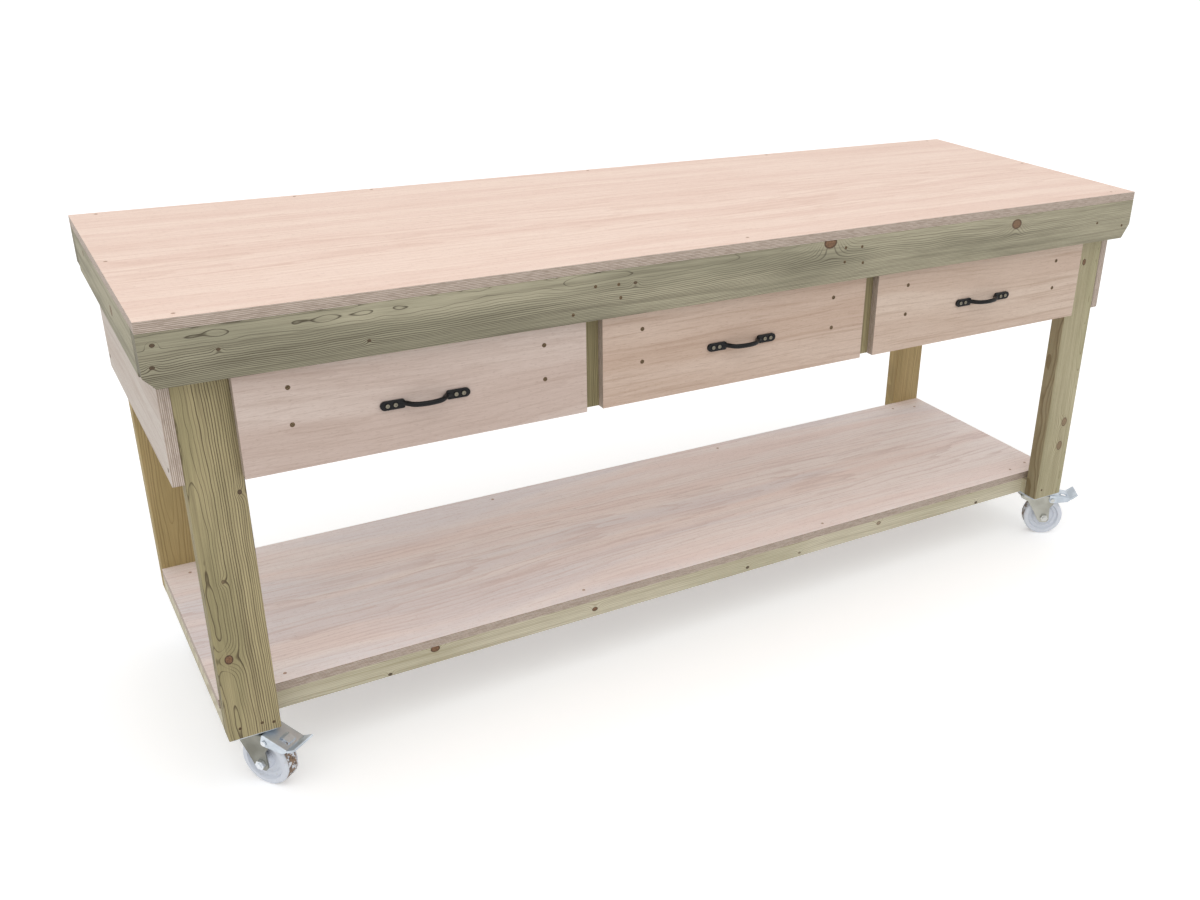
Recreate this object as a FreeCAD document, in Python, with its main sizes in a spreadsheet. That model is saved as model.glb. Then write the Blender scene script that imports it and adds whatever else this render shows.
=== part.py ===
import FreeCAD, Part
import math
import os
import Sketcher

# Mobile workbench: a softwood frame with a plywood top, three drawers under the
# top, a plywood shelf near the floor and four braked swivel castors.
# The origin is on the floor, under the middle of the whole bench's box, which the
# front right castor's pedal makes a little longer than the worktop. +X runs to the
# right along the front, +Y runs to the back and +Z is up.

document = FreeCAD.newDocument("workbench")
sheet = document.addObject("Spreadsheet::Sheet", "sizes")

# Driving dimensions in millimetres, and angles in degrees
driving_dimensions = (
    ("bench_length", 2130, "worktop and long rails, end to end"),
    ("bench_depth", 690, "worktop, front to back"),
    ("bench_height", 910, "floor to worktop"),
    ("board_thickness", 18, "plywood of the top, shelf, end panels and drawer fronts"),
    ("stud_width", 89, "planed framing timber, wide side"),
    ("stud_thickness", 38, "planed framing timber, narrow side"),
    ("stud_arris", 2.5, "rounding of the timber's long edges"),
    ("left_clip_along", 18, "cut-off lower corner at the left end of a long rail, along it"),
    ("left_clip_up", 20, "the same corner, up the end"),
    ("right_clip_along", 21, "cut-off lower corner at the right end of a long rail, along it"),
    ("right_clip_up", 32, "the same corner, up the end"),
    ("end_rail_height", 79, "height of the trimmed rails across the ends"),
    ("apron_depth", 287, "top surface down to the lower edge of drawers and panels"),
    ("panel_corner", 6, "rounding of the end panels' lower corners"),
    ("lower_setback", 15, "gap from the front legs' back face to the shelf and its rail"),
    ("front_lap", 2.5, "how far a drawer front laps the timber at each side"),
    ("front_top_gap", 2, "gap from the front rail down to a drawer front"),
    ("closing_gap", 0.5, "gap behind a closed drawer front"),
    ("box_depth", 500, "drawer box, front to back"),
    ("box_height", 144, "drawer box sides"),
    ("box_top_step", 16, "drawer front's top edge down to the box sides"),
    ("box_board", 12, "plywood of the drawer box"),
    ("box_bottom", 6, "plywood of the drawer bottom"),
    ("runner_gap", 13, "space for a runner at each side of a drawer box"),
    ("runner_length", 480, "both members of a runner"),
    ("runner_setback", 12, "drawer front's back face to the runner"),
    ("runner_height", 35, "cabinet member, outside"),
    ("runner_wall", 1.5, "pressed steel of the runners"),
    ("runner_play", 0.4, "clearance between the two members"),
    ("cabinet_member_depth", 9.5, "how far the cabinet member stands off the timber"),
    ("handle_length", 157, "bow handle, end to end"),
    ("handle_drop", 204, "worktop surface down to the handle's middle"),
    ("handle_pad_length", 42, "screw pad at each end of the handle"),
    ("handle_pad_height", 16, "screw pad, top to bottom"),
    ("handle_pad_thickness", 4, "screw pad"),
    ("handle_pad_corner", 3.5, "rounding of the pad's corners towards the bow"),
    ("handle_reach", 26, "drawer front's face to the outside of the bow"),
    ("handle_bar", 9, "diameter of the bow"),
    ("handle_hole", 4, "diameter of the screw holes in the pads"),
    ("handle_hole_inset", 12, "pad's outer end to the outer hole"),
    ("handle_hole_pitch", 13.5, "between the two holes of one pad"),
    ("castor_height", 125, "floor to the underside of the legs"),
    ("castor_setback", 4, "front legs' front face to the castor plate's edge"),
    ("plate_length", 105, "castor top plate along the bench's depth"),
    ("plate_width", 85, "castor top plate along the bench's length"),
    ("plate_thickness", 4, "castor top plate"),
    ("plate_corner", 8, "corner radius of the top plate"),
    ("hole_pitch_deep", 80, "plate holes along the plate's length"),
    ("hole_pitch_wide", 60, "plate holes along the plate's width"),
    ("plate_hole", 9, "diameter of the plate holes"),
    ("screw_head", 14, "diameter of the pan heads under the plate"),
    ("screw_head_height", 2.5, "pan heads under the plate"),
    ("screw_shank", 8, "diameter of the screws in the plate holes"),
    ("race_radius", 31, "ball race pressed into the plate"),
    ("race_drop", 5, "depth of that race below the plate"),
    ("race_gap", 0.3, "running gap of the swivel"),
    ("crown_radius", 34, "round crown of the fork"),
    ("fork_wall", 3, "pressed steel of the fork"),
    ("fork_inside", 40, "between the fork's side plates"),
    ("fork_bend", 5, "outer radius where the fork's top turns down"),
    ("fork_corner", 6, "rounding of the side plates' corners"),
    ("king_pin", 12, "diameter of the swivel rivet"),
    ("king_pin_head", 22, "diameter of the swivel rivet's head"),
    ("king_pin_head_height", 4, "the same head"),
    ("pin_gap", 0.3, "clearance round the swivel rivet"),
    ("castor_trail", 38, "swivel axis to wheel axle"),
    ("wheel_diameter", 100, "castor wheel"),
    ("wheel_width", 32, "castor wheel over the tread"),
    ("tread_edge", 4, "rounding at each side of the tread"),
    ("rim_depth", 11, "radial depth of the wheel's outer rim"),
    ("web_recess", 6, "how far the wheel's web lies inside the rim"),
    ("web_step", 2.5, "second step of the web nearer the hub"),
    ("hub_radius", 14, "wheel hub"),
    ("hub_side_gap", 0.5, "hub to side plate, each side"),
    ("axle_diameter", 10, "axle bolt"),
    ("axle_gap", 0.08, "running clearance round the axle bolt"),
    ("axle_hex", 17, "across the flats of the bolt head and nut"),
    ("axle_head_height", 6.5, "bolt head and nut"),
    ("axle_end", 2.5, "thread past the nut"),
    ("pivot_trail", 53, "swivel axis to the brake pedal's pivot"),
    ("pivot_drop", 23, "underside of the legs down to the pedal's pivot"),
    ("pivot_pin", 6, "diameter of the pedal's rivet"),
    ("pivot_head", 10, "diameter of that rivet's heads"),
    ("pivot_head_height", 2.5, "that rivet's heads"),
    ("pedal_gap", 0.6, "side plate to pedal flange, each side"),
    ("pedal_wall", 2, "pressed steel of the pedal"),
    ("pedal_top", 12.7, "pivot up to the pedal's tread plate"),
    ("pedal_heel", 9, "pivot back to the pedal's inner end"),
    ("pedal_reach", 48.5, "pivot out to the foot of the pedal's lip"),
    ("pedal_corner", 3, "rounding of the flanges' lower corners"),
    ("pedal_bend", 3, "outer radius where the tread plate turns down into the flanges"),
    ("lip_root", 4, "how far the lip runs back into the tread plate"),
    ("lip_out", 12.5, "lip, outwards"),
    ("lip_up", 14, "lip, upwards"),
    ("strap_width", 18, "pressed-up strap in the pedal's tread plate"),
    ("strap_slit", 3, "open slit at each side of the strap"),
    ("strap_rise", 4.5, "strap's ridge above the tread plate"),
    ("strap_far_rise", 3, "strap's far end above the tread plate"),
    ("strap_ridge", 7.4, "strap's near end out to its ridge"),
    ("strap_start", 17, "pivot out to the strap"),
    ("strap_length", 22, "strap, along the pedal"),
    ("shoe_gap", 0.5, "brake shoe to tread with the pedal down"),
    ("shoe_width", 22, "brake shoe"),
    ("shoe_start", 14, "pivot out to the brake shoe"),
    ("shoe_length", 10, "brake shoe, along the pedal"),
    ("shoe_depth", 26, "tread plate down to the brake shoe's end, before the tread is cut out"),
    ("pedal_down_tilt", 19.8, "slope of the tread plate with the brake on"),
    ("pedal_up_tilt", 7.8, "slope of the tread plate with the brake off"),
    ("front_left_heading", 306, "direction that this castor's pedal points in, from +X"),
    ("front_right_heading", 327, "the same, at the front right"),
    ("back_left_heading", 40, "the same, at the back left"),
    ("back_right_heading", 126, "the same, at the back right"),
    ("overrun", 20, "how far cuts run past what they cut"),
)
bay_count = 3
hexagon_sides = 6
full_turn = 360

for row, (alias, number, note) in enumerate(driving_dimensions, start=1):
    sheet.set(f"A{row}", note)
    sheet.set(f"B{row}", str(number))
    sheet.setAlias(f"B{row}", alias)
document.recompute()


class Size:
    """A number together with the sheet formula that gives it."""

    def __init__(self, formula, value):
        self.formula = formula
        self.value = value

    def __add__(self, other):
        other = as_size(other)
        return Size(f"({self.formula} + {other.formula})", self.value + other.value)

    def __radd__(self, other):
        return as_size(other) + self

    def __sub__(self, other):
        other = as_size(other)
        return Size(f"({self.formula} - {other.formula})", self.value - other.value)

    def __rsub__(self, other):
        return as_size(other) - self

    def __mul__(self, other):
        other = as_size(other)
        return Size(f"({self.formula} * {other.formula})", self.value * other.value)

    def __rmul__(self, other):
        return as_size(other) * self

    def __truediv__(self, other):
        other = as_size(other)
        return Size(f"({self.formula} / {other.formula})", self.value / other.value)

    def __neg__(self):
        return Size(f"(0 - {self.formula})", -self.value)


def as_size(number):
    if isinstance(number, Size):
        return number
    return Size(repr(float(number)), float(number))


def cosine(angle):
    return Size(f"cos({angle.formula})", math.cos(math.radians(angle.value)))


def sine(angle):
    return Size(f"sin({angle.formula})", math.sin(math.radians(angle.value)))


class Sizes:
    """Reads the sheet: sizes.bench_length is that cell, as a Size."""

    def __getattr__(self, alias):
        return Size(f"sizes.{alias}", float(sheet.get(alias)))


sizes = Sizes()
zero = as_size(0)
sub_parts = []


def keep(thing, label):
    """Counts a finished object as a sub-part under this name."""
    thing.Label = label
    sub_parts.append(thing)
    return thing


def bind(thing, property_name, size):
    thing.setExpression(property_name, as_size(size).formula)


def place(thing, corner, rotation=FreeCAD.Rotation()):
    x, y, z = (as_size(part) for part in corner)
    base = FreeCAD.Vector(x.value, y.value, z.value)
    thing.Placement = FreeCAD.Placement(base, rotation)
    bind(thing, "Placement.Base.x", x)
    bind(thing, "Placement.Base.y", y)
    bind(thing, "Placement.Base.z", z)
    return thing


def board(name, corner, sides):
    """A flat rectangular sheet with square edges."""
    box = document.addObject("Part::Box", name)
    for property_name, side in zip(("Length", "Width", "Height"), sides):
        bind(box, property_name, side)
    return place(box, corner)


def group(label, members):
    """Like pieces that share one node, each still a solid of its own."""
    together = document.addObject("Part::Compound", label)
    together.Links = members
    return keep(together, label)


def new_body(name):
    return document.addObject("PartDesign::Body", name)


def sketch_on(body, name, role, height=None):
    """An empty sketch on one of the body's own planes, raised along its normal."""
    sketch = body.newObject("Sketcher::SketchObject", name)
    plane = [item for item in body.Origin.OriginFeatures if item.Role == role][0]
    sketch.AttachmentSupport = [(plane, "")]
    sketch.MapMode = "FlatFace"
    if height is not None:
        bind(sketch, "AttachmentOffset.Base.z", height)
    return sketch


def hold(sketch, kind, point, distance):
    """Ties one coordinate of a point to the sheet, measured from the origin."""
    edge, end = point
    number = sketch.addConstraint(Sketcher.Constraint(kind, -1, 1, edge, end, distance.value))
    if distance.formula != zero.formula:
        sketch.setExpression(f"Constraints[{number}]", distance.formula)


def add_outline(sketch, corners):
    """A closed outline of straight lines through corners given as Sizes."""
    corners = [(as_size(across), as_size(up)) for across, up in corners]
    first = sketch.GeometryCount
    count = len(corners)
    for index, (across, up) in enumerate(corners):
        next_across, next_up = corners[(index + 1) % count]
        start = FreeCAD.Vector(across.value, up.value, 0)
        end = FreeCAD.Vector(next_across.value, next_up.value, 0)
        sketch.addGeometry(Part.LineSegment(start, end), False)
    for index in range(count):
        following = first + (index + 1) % count
        sketch.addConstraint(Sketcher.Constraint("Coincident", first + index, 2, following, 1))
    for index, (across, up) in enumerate(corners):
        hold(sketch, "DistanceX", (first + index, 1), across)
        hold(sketch, "DistanceY", (first + index, 1), up)
    return sketch


def add_circle(sketch, centre, radius):
    across, up = (as_size(part) for part in centre)
    middle = FreeCAD.Vector(across.value, up.value, 0)
    normal = FreeCAD.Vector(0, 0, 1)
    edge = sketch.addGeometry(Part.Circle(middle, normal, radius.value), False)
    number = sketch.addConstraint(Sketcher.Constraint("Radius", edge, radius.value))
    sketch.setExpression(f"Constraints[{number}]", radius.formula)
    hold(sketch, "DistanceX", (edge, 3), across)
    hold(sketch, "DistanceY", (edge, 3), up)
    return sketch


def rectangle(left, right, low, high):
    return ((left, low), (right, low), (right, high), (left, high))


def extrude(body, kind, sketch, length, midplane=False, backwards=False):
    """A Pad or a Pocket of a sketch."""
    feature = body.newObject(f"PartDesign::{kind}", f"{sketch.Name}_{kind}")
    feature.Profile = sketch
    bind(feature, "Length", length)
    feature.Midplane = midplane
    feature.Reversed = backwards
    document.recompute()
    return feature


def cut(body, sketch, length, midplane=False, backwards=False):
    """A Pocket that has to take material away."""
    before = body.Shape.Volume
    feature = extrude(body, "Pocket", sketch, length, midplane, backwards)
    if not feature.Shape.Volume < before:
        raise ValueError(f"{feature.Name} cuts nothing")
    return feature


# Two directions, or two places in millimetres, that count as the same
parallel_cosine = 0.999
closeness = 0.01


def straight_edges(feature, direction, wanted=None):
    """Names of the straight edges along a direction whose middle is wanted."""
    names = []
    for number, edge in enumerate(feature.Shape.Edges, start=1):
        if edge.Curve.TypeId != "Part::GeomLine":
            continue
        parallel = abs(edge.Curve.Direction.dot(direction)) > parallel_cosine
        if parallel and (wanted is None or wanted(edge.CenterOfMass)):
            names.append(f"Edge{number}")
    return names


def ease(body, feature, names, radius):
    """Rounds the named edges."""
    fillet = body.newObject("PartDesign::Fillet", f"{feature.Name}_eased")
    fillet.Base = (feature, names)
    bind(fillet, "Radius", radius)
    document.recompute()
    return fillet


along_x = FreeCAD.Vector(1, 0, 0)
along_y = FreeCAD.Vector(0, 1, 0)
along_z = FreeCAD.Vector(0, 0, 1)
diagonal = FreeCAD.Vector(1, 1, 1)
third_turn = 120

# How a section drawn on the ground plane is turned so that it runs along each
# axis, and which of the three sides are then its width, height and length
stud_turns = {
    "x": (FreeCAD.Rotation(diagonal, third_turn), (1, 2, 0)),
    "y": (FreeCAD.Rotation(diagonal, -third_turn), (2, 0, 1)),
    "z": (FreeCAD.Rotation(), (0, 1, 2)),
}


def stud(label, axis, corner, sides):
    """A straight length of framing timber with eased long edges."""
    rotation, order = stud_turns[axis]
    width, height, length = (sides[index] for index in order)
    body = new_body(label)
    section = sketch_on(body, f"{label}_section", "XY_Plane")
    add_outline(section, rectangle(zero, width, zero, height))
    pad = extrude(body, "Pad", section, length)
    ease(body, pad, straight_edges(pad, along_z), sizes.stud_arris)
    place(body, corner, rotation)
    return keep(body, label)


# Widths over the parts of a castor, from the wheel's fork out to its pedal
fork_outside = sizes.fork_inside + 2 * sizes.fork_wall
pedal_inside = fork_outside + 2 * sizes.pedal_gap
pedal_outside = pedal_inside + 2 * sizes.pedal_wall

# How far the front right pedal's lip stands out past the worktop's end
lip_out = sizes.pedal_reach + sizes.lip_out + sizes.pedal_wall / 2
lip_up = sizes.pedal_top + sizes.lip_up - sizes.pedal_wall
lip_trail = lip_out * cosine(sizes.pedal_up_tilt) + lip_up * sine(sizes.pedal_up_tilt)
swivel_in = sizes.stud_thickness + sizes.stud_width / 2
lip_overhang = (
    (sizes.pivot_trail + lip_trail) * cosine(sizes.front_right_heading)
    - pedal_outside / 2 * sine(sizes.front_right_heading)
    - swivel_in
)

# Places that follow from the driving dimensions
left_end = -(sizes.bench_length + lip_overhang) / 2
right_end = left_end + sizes.bench_length
front_face = -sizes.bench_depth / 2
back_face = sizes.bench_depth / 2
top_face = sizes.bench_height
under_top = top_face - sizes.board_thickness
leg_foot = sizes.castor_height
apron_foot = top_face - sizes.apron_depth
leg_left = left_end + sizes.stud_thickness
leg_right = right_end - sizes.stud_thickness
opening_left = leg_left + sizes.stud_width
opening_right = leg_right - sizes.stud_width
front_leg_face = front_face + sizes.stud_thickness
front_leg_back = front_leg_face + sizes.stud_thickness
back_leg_face = back_face - sizes.stud_thickness
back_leg_front = back_leg_face - sizes.stud_thickness
bay_pitch = (opening_right - opening_left + sizes.stud_thickness) / bay_count
bay_width = bay_pitch - sizes.stud_thickness

# Worktop: one sheet of plywood laid on the rails
keep(
    board(
        "worktop",
        (left_end, front_face, under_top),
        (sizes.bench_length, sizes.bench_depth, sizes.board_thickness),
    ),
    "worktop",
)


def long_rail(label, front):
    """A top rail on edge over the whole length, its lower corners cut off."""
    body = new_body(label)
    face = sketch_on(body, f"{label}_face", "XZ_Plane")
    add_outline(
        face,
        (
            (zero, sizes.left_clip_up),
            (sizes.left_clip_along, zero),
            (sizes.bench_length - sizes.right_clip_along, zero),
            (sizes.bench_length, sizes.right_clip_up),
            (sizes.bench_length, sizes.stud_width),
            (zero, sizes.stud_width),
        ),
    )
    pad = extrude(body, "Pad", face, sizes.stud_thickness, backwards=True)
    ease(body, pad, straight_edges(pad, along_x), sizes.stud_arris)
    place(body, (left_end, front, under_top - sizes.stud_width))
    keep(body, label)


long_rail("top_front_rail", front_face)
long_rail("top_back_rail", back_leg_face)

# Trimmed rails across the two ends, between the long rails
end_rail_sides = (
    sizes.stud_thickness,
    back_leg_face - front_leg_face,
    sizes.end_rail_height,
)
end_rail_foot = under_top - sizes.end_rail_height
stud("top_end_rail_left", "y", (left_end, front_leg_face, end_rail_foot), end_rail_sides)
stud("top_end_rail_right", "y", (leg_right, front_leg_face, end_rail_foot), end_rail_sides)

# Legs: wide side to the front, behind the long rails and inside the end rails
leg_sides = (sizes.stud_width, sizes.stud_thickness, under_top - leg_foot)
for side, leg_x in (("left", leg_left), ("right", opening_right)):
    stud(f"leg_front_{side}", "z", (leg_x, front_leg_face, leg_foot), leg_sides)
    stud(f"leg_back_{side}", "z", (leg_x, back_leg_front, leg_foot), leg_sides)


def side_panel(label, left):
    """A plywood panel on the legs' outer faces, below the end rail."""
    body = new_body(label)
    face = sketch_on(body, f"{label}_face", "YZ_Plane")
    depth = back_leg_face - front_leg_face
    height = end_rail_foot - apron_foot
    add_outline(face, rectangle(zero, depth, zero, height))
    pad = extrude(body, "Pad", face, sizes.board_thickness)
    low_corners = straight_edges(pad, along_x, lambda middle: middle.z < height.value / 2)
    ease(body, pad, low_corners, sizes.panel_corner)
    place(body, (left, front_leg_face, apron_foot))
    keep(body, label)


side_panel("side_panel_left", leg_left - sizes.board_thickness)
side_panel("side_panel_right", leg_right)

# Divider posts between the drawers, hung behind the long rails
post_sides = (sizes.stud_thickness, sizes.stud_width, under_top - apron_foot)
back_post_front = back_leg_face - sizes.stud_width
front_post_back = front_leg_face + sizes.stud_width
divider_lefts = {
    "left": opening_left + bay_width,
    "right": opening_left + bay_pitch + bay_width,
}
for side, divider_left in divider_lefts.items():
    stud(f"divider_post_front_{side}", "z", (divider_left, front_leg_face, apron_foot), post_sides)
    stud(f"divider_post_back_{side}", "z", (divider_left, back_post_front, apron_foot), post_sides)

# Drawer heights, shared by the fronts, boxes, runners and bearers
front_top = under_top - sizes.stud_width - sizes.front_top_gap
box_top = front_top - sizes.box_top_step
box_foot = box_top - sizes.box_height
runner_middle = (box_top + box_foot) / 2
front_back_face = front_leg_face - sizes.closing_gap
front_front_face = front_back_face - sizes.board_thickness

# Bearers that carry the runners, from front to back at each side of each bay
bearer_foot = runner_middle - sizes.stud_width / 2
end_bearer_sides = (sizes.stud_thickness, back_leg_front - front_leg_back, sizes.stud_width)
mid_bearer_sides = (sizes.stud_thickness, back_post_front - front_post_back, sizes.stud_width)
left_bearer = opening_left - sizes.stud_thickness
stud("runner_bearer_left_end", "y", (left_bearer, front_leg_back, bearer_foot), end_bearer_sides)
stud("runner_bearer_right_end", "y", (opening_right, front_leg_back, bearer_foot), end_bearer_sides)
for side, divider_left in divider_lefts.items():
    corner = (divider_left, front_post_back, bearer_foot)
    stud(f"runner_bearer_{side}_divider", "y", corner, mid_bearer_sides)

# Lower frame: timber laid flat, level with the feet of the legs
lower_end_sides = (sizes.stud_width, back_leg_front - front_leg_back, sizes.stud_thickness)
stud("lower_end_rail_left", "y", (leg_left, front_leg_back, leg_foot), lower_end_sides)
stud("lower_end_rail_right", "y", (opening_right, front_leg_back, leg_foot), lower_end_sides)
lower_long_sides = (opening_right - opening_left, sizes.stud_width, sizes.stud_thickness)
shelf_front = front_leg_back + sizes.lower_setback
lower_back_front = back_leg_front - sizes.stud_width
stud("lower_front_rail", "x", (opening_left, shelf_front, leg_foot), lower_long_sides)
stud("lower_back_rail", "x", (opening_left, lower_back_front, leg_foot), lower_long_sides)

# Shelf: plywood on the lower frame, from outer leg face to outer leg face
keep(
    board(
        "undershelf",
        (leg_left, shelf_front, leg_foot + sizes.stud_thickness),
        (leg_right - leg_left, back_leg_front - shelf_front, sizes.board_thickness),
    ),
    "undershelf",
)


def channel(name, back, open_towards, depth, height, front):
    """A pressed C section along the bench's depth, its web at back."""
    body = new_body(name)
    section = sketch_on(body, f"{name}_section", "XZ_Plane")
    wall = sizes.runner_wall
    face = open_towards * depth
    inner = open_towards * wall
    high = height / 2
    add_outline(
        section,
        (
            (zero, -high),
            (face, -high),
            (face, wall - high),
            (inner, wall - high),
            (inner, high - wall),
            (face, high - wall),
            (face, high),
            (zero, high),
        ),
    )
    extrude(body, "Pad", section, sizes.runner_length, backwards=True)
    return place(body, (back, front, runner_middle))


# Half of the bow's path: shares of half the span between the pads, and of how far
# the bow stands out
bow_shares = ((-1.22, 0.0), (-0.98, 0.16), (-0.68, 0.84), (0.0, 1.05))
corner_share = 0.45


def rounded_path(points):
    """Straight runs joined by tangent arcs, each as large as its runs allow."""
    edges = []
    start = points[0]
    for before, corner, after in zip(points, points[1:], points[2:]):
        arriving = corner - before
        leaving = after - corner
        room = corner_share * min(arriving.Length, leaving.Length)
        arriving.normalize()
        leaving.normalize()
        arc_start = corner - arriving * room
        arc_end = corner + leaving * room
        turn = arriving.getAngle(leaving)
        radius = room / math.tan(turn / 2)
        inwards = (leaving - arriving).normalize()
        centre = corner + inwards * (radius / math.cos(turn / 2))
        arc_middle = centre - inwards * radius
        edges.append(Part.LineSegment(start, arc_start).toShape())
        edges.append(Part.Arc(arc_start, arc_middle, arc_end).toShape())
        start = arc_end
    edges.append(Part.LineSegment(start, points[-1]).toShape())
    return Part.Wire(edges)


def bow_handle(label, middle):
    """A cast bow handle: two screw pads and a round bar bowed between them."""
    half = sizes.handle_length.value / 2
    pad_length = sizes.handle_pad_length.value
    pad_half = sizes.handle_pad_height.value / 2
    pad_thick = sizes.handle_pad_thickness.value
    bar_radius = sizes.handle_bar.value / 2
    bow_out = sizes.handle_reach.value - bar_radius
    outwards = FreeCAD.Vector(0, -pad_thick, 0)
    solids = []
    holes = []
    for way in (-1, 1):
        inner = way * (half - pad_length)
        round_start = way * (half - pad_half)
        inner_low = FreeCAD.Vector(inner, 0, -pad_half)
        inner_high = FreeCAD.Vector(inner, 0, pad_half)
        outer_low = FreeCAD.Vector(round_start, 0, -pad_half)
        outer_high = FreeCAD.Vector(round_start, 0, pad_half)
        tip = FreeCAD.Vector(way * half, 0, 0)
        edges = (
            Part.LineSegment(inner_low, outer_low).toShape(),
            Part.Arc(outer_low, tip, outer_high).toShape(),
            Part.LineSegment(outer_high, inner_high).toShape(),
            Part.LineSegment(inner_high, inner_low).toShape(),
        )
        pad = Part.Face(Part.Wire(edges)).extrude(outwards)
        inner_corners = [
            edge
            for edge in pad.Edges
            if abs(edge.CenterOfMass.x - inner) < closeness
            and abs(edge.CenterOfMass.y + pad_thick / 2) < closeness
        ]
        solids.append(pad.makeFillet(sizes.handle_pad_corner.value, inner_corners))
        for hole_number in range(2):
            inset = sizes.handle_hole_inset + hole_number * sizes.handle_hole_pitch
            start = FreeCAD.Vector(way * (half - inset.value), 0, 0)
            holes.append(Part.makeCylinder(sizes.handle_hole.value / 2, pad_thick, start, -along_y))
    inner_half = half - pad_length
    points = [
        FreeCAD.Vector(across * inner_half, -out * bow_out, 0) for across, out in bow_shares
    ]
    points += [FreeCAD.Vector(-point.x, point.y, 0) for point in reversed(points[:-1])]
    spine = rounded_path(points)
    ring = Part.Circle(points[0], points[1] - points[0], bar_radius)
    bar = spine.makePipeShell([Part.Wire([ring.toShape()])], True, False)
    behind = Part.makeBox(2 * half, bow_out, 2 * half, FreeCAD.Vector(-half, 0, -half))
    handle = document.addObject("Part::Feature", label)
    shape = solids[0].fuse([solids[1], bar.cut(behind)]).cut(holes)
    handle.Shape = shape.removeSplitter()
    place(handle, (middle, front_front_face, top_face - sizes.handle_drop))
    keep(handle, label)


def drawer(side, bay_left):
    """One drawer: front, box, bottom, handle and the moving runner members."""
    name = f"drawer_{side}"
    bay_right = bay_left + bay_width
    box_left = bay_left + sizes.runner_gap
    box_right = bay_right - sizes.runner_gap
    keep(
        board(
            f"{name}_front",
            (bay_left - sizes.front_lap, front_front_face, apron_foot),
            (bay_width + 2 * sizes.front_lap, sizes.board_thickness, front_top - apron_foot),
        ),
        f"{name}_front",
    )
    side_sides = (sizes.box_board, sizes.box_depth, sizes.box_height)
    side_corners = (
        (box_left, front_back_face, box_foot),
        (box_right - sizes.box_board, front_back_face, box_foot),
    )
    group(
        f"{name}_sides",
        [board(f"{name}_side", corner, side_sides) for corner in side_corners],
    )
    end_sides = (
        box_right - box_left - 2 * sizes.box_board,
        sizes.box_board,
        sizes.box_height,
    )
    end_left = box_left + sizes.box_board
    end_corners = (
        (end_left, front_back_face, box_foot),
        (end_left, front_back_face + sizes.box_depth - sizes.box_board, box_foot),
    )
    group(
        f"{name}_ends",
        [board(f"{name}_end", corner, end_sides) for corner in end_corners],
    )
    keep(
        board(
            f"{name}_bottom",
            (box_left, front_back_face, box_foot - sizes.box_bottom),
            (box_right - box_left, sizes.box_depth, sizes.box_bottom),
        ),
        f"{name}_bottom",
    )
    bow_handle(f"{name}_handle", (bay_left + bay_right) / 2)
    runner_front = front_back_face + sizes.runner_setback
    inside_height = sizes.runner_height - 2 * sizes.runner_wall
    member_height = inside_height - 2 * sizes.runner_play
    member_depth = sizes.runner_gap - sizes.runner_wall - sizes.runner_play
    members = [
        channel(f"{name}_slide_left", box_left, -1, member_depth, member_height, runner_front),
        channel(f"{name}_slide_right", box_right, 1, member_depth, member_height, runner_front),
    ]
    group(f"{name}_slides", members)
    cabinet = (sizes.cabinet_member_depth, sizes.runner_height, runner_front)
    return [
        channel(f"{name}_runner_left", bay_left, 1, *cabinet),
        channel(f"{name}_runner_right", bay_right, -1, *cabinet),
    ]


cabinet_members = []
for number, side in enumerate(("left", "middle", "right")):
    cabinet_members += drawer(side, opening_left + number * bay_pitch)
group("cabinet_runners", cabinet_members)

# Castor heights below the feet of the legs, and the rest that its pieces share
race_foot = -(sizes.plate_thickness + sizes.race_drop)
crown_top = race_foot - sizes.race_gap
web_foot = crown_top - 2 * sizes.fork_wall
pin_head_top = web_foot - sizes.race_gap
axle_drop = sizes.castor_height - sizes.wheel_diameter / 2

# The fork's side plate: shares of the castor's trail along it, and of the
# axle's depth down it, from the crown round the axle and up to the pedal
side_plate_shares = (
    (-0.79, 0.16),
    (-0.79, 0.25),
    (-0.24, 0.40),
    (0.26, 0.80),
    (0.56, 1.09),
    (0.76, 1.19),
    (1.20, 1.19),
    (1.36, 1.10),
    (1.30, 0.62),
    (1.56, 0.46),
    (1.56, 0.26),
    (1.16, 0.16),
)

# The pedal's flange: shares of its reach along it, and of its top above the pivot
flange_shares = (
    (-0.16, -0.30),
    (-0.10, -0.62),
    (0.10, -0.62),
    (0.83, 0.14),
    (0.93, 0.60),
)


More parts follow.
